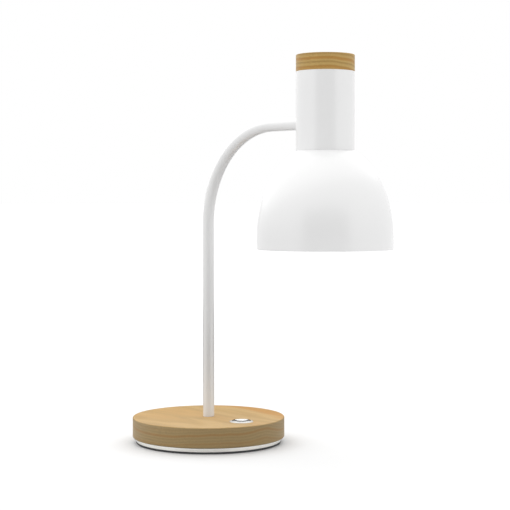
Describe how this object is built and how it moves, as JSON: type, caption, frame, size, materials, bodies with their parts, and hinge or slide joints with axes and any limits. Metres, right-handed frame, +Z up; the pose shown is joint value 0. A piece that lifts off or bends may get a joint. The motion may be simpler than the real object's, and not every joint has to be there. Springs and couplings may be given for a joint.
{
  "type": "desk lamp",
  "caption": "Desk lamp: weighted round wooden base with push switch, bent tube stem and a tilting bell shade under a slim sleeve with a wooden cap.",
  "frame": {"origin": "on the resting surface, on the stem's axis at the middle of the round base", "axes": "+Z up along the stem; +X the way the arm reaches, towards button and head; +Y to the left seen from the back"},
  "size_m": [0.338, 0.17, 0.419],
  "materials": {
    "foot_pad": "matt cellular rubber",
    "base_plate": "satin nickel plated",
    "wood_base": "matt clear lacquer on turned light hardwood",
    "base_screws": "zinc plated",
    "ballast_left": "as cast, blacked",
    "ballast_right": "as cast, blacked",
    "ballast_screws": "zinc plated",
    "cable_gland": "moulded white rubber",
    "terminal_block": "moulded natural polyamide",
    "terminal_screws": "turned",
    "block_screw": "zinc plated",
    "stem_tube": "satin white powder coat",
    "stem_flange": "zinc plated",
    "flange_screws": "zinc plated",
    "stem_lead": "white flexible sheath",
    "arm_spigot": "turned and threaded",
    "friction_washers": "natural nylon",
    "stop_washer": "stamped",
    "disc_spring": "spring steel",
    "pivot_nut": "turned",
    "button_cap": "satin chrome plated",
    "button_bezel": "satin chrome plated",
    "switch_nut": "moulded black polyamide",
    "switch_body": "moulded black polyamide",
    "button_spring": "spring wire",
    "switch_lead": "white flexible sheath",
    "head_bracket": "zinc plated strip",
    "socket_sleeve": "satin white powder coat on drawn aluminium",
    "wood_cap": "matt clear lacquer on turned light hardwood",
    "cap_screws": "zinc plated",
    "holder_nipple": "turned and threaded",
    "holder_nut": "turned",
    "holder_lead": "white flexible sheath",
    "holder_cap": "white thermoset moulding",
    "holder_skirt": "white thermoset moulding",
    "holder_insert": "unglazed steatite",
    "holder_contact": "stamped",
    "holder_shell": "rolled",
    "shade_ring": "white thermoset moulding",
    "lampshade": "satin white powder coat on spun aluminium",
    "bulb_tip": "tinned",
    "bulb_insulator": "black vitrite",
    "bulb_screw_cap": "rolled and plated",
    "bulb_body": "moulded white polycarbonate",
    "bulb_globe": "opal polycarbonate",
    "led_board": "white solder mask"
  },
  "bodies": {
    "stand": {"foot_pad": "foot_pad", "base_plate": "base_plate", "wood_base": "wood_base", "base_screws": "base_screws", "ballast_left": "ballast_left", "ballast_right": "ballast_right", "ballast_screws": "ballast_screws", "cable_gland": "cable_gland", "terminal_block": "terminal_block", "terminal_screws": "terminal_screws", "block_screw": "block_screw", "stem_tube": "stem_tube", "stem_flange": "stem_flange", "flange_screws": "flange_screws", "stem_lead": "stem_lead", "arm_spigot": "arm_spigot", "friction_washers": "friction_washers", "stop_washer": "stop_washer", "disc_spring": "disc_spring", "pivot_nut": "pivot_nut", "button_bezel": "button_bezel", "switch_nut": "switch_nut", "switch_body": "switch_body", "button_spring": "button_spring", "switch_lead": "switch_lead"},
    "button": {"button_cap": "button_cap"},
    "head": {"head_bracket": "head_bracket", "socket_sleeve": "socket_sleeve", "wood_cap": "wood_cap", "cap_screws": "cap_screws", "holder_nipple": "holder_nipple", "holder_nut": "holder_nut", "holder_lead": "holder_lead", "holder_cap": "holder_cap", "holder_skirt": "holder_skirt", "holder_insert": "holder_insert", "holder_contact": "holder_contact", "holder_shell": "holder_shell", "shade_ring": "shade_ring", "lampshade": "lampshade", "bulb_tip": "bulb_tip", "bulb_insulator": "bulb_insulator", "bulb_screw_cap": "bulb_screw_cap", "bulb_body": "bulb_body", "bulb_globe": "bulb_globe", "led_board": "led_board"}
  },
  "joints": [
    {"name": "button_press", "type": "slide", "parent": "stand", "child": "button", "axis": [0, 0, -1], "range_m": [0, 0.002], "stiffness_N_per_m": 1000, "springref_m": -0.001, "deforming": ["button_spring"]},
    {"name": "head_tilt", "type": "hinge", "parent": "stand", "child": "head", "pos_m": [0.1595, 0, 0.35], "axis": [1, 0, 0], "range_deg": [-40, 40]}
  ]
}
